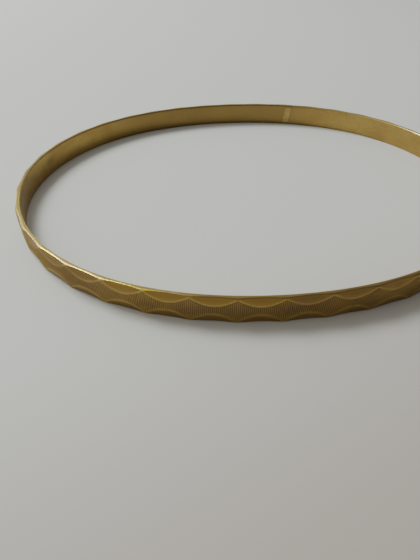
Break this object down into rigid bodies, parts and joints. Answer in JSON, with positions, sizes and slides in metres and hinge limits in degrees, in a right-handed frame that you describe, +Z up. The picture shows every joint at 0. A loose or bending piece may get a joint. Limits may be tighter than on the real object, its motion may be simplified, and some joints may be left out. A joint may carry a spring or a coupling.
{
  "type": "bangle bracelet",
  "caption": "Slip-on bangle: a slightly oval ring of brass strip, closed by a soldered seam, with a lined outer band between two rows of hollow facets.",
  "frame": {"origin": "middle of the ring, on the plane that it rests on", "axes": "+Z up through the hand opening, +X along the oval's longer axis, +Y along its shorter axis"},
  "size_m": [0.07, 0.0566, 0.0037],
  "materials": {
    "band": "satin, slightly tarnished yellow brass, brighter on the cut facets and edges",
    "solder": "paler satin, filed flush"
  },
  "bodies": {
    "root": {"band": "band", "solder_seam": "solder"}
  },
  "joints": []
}
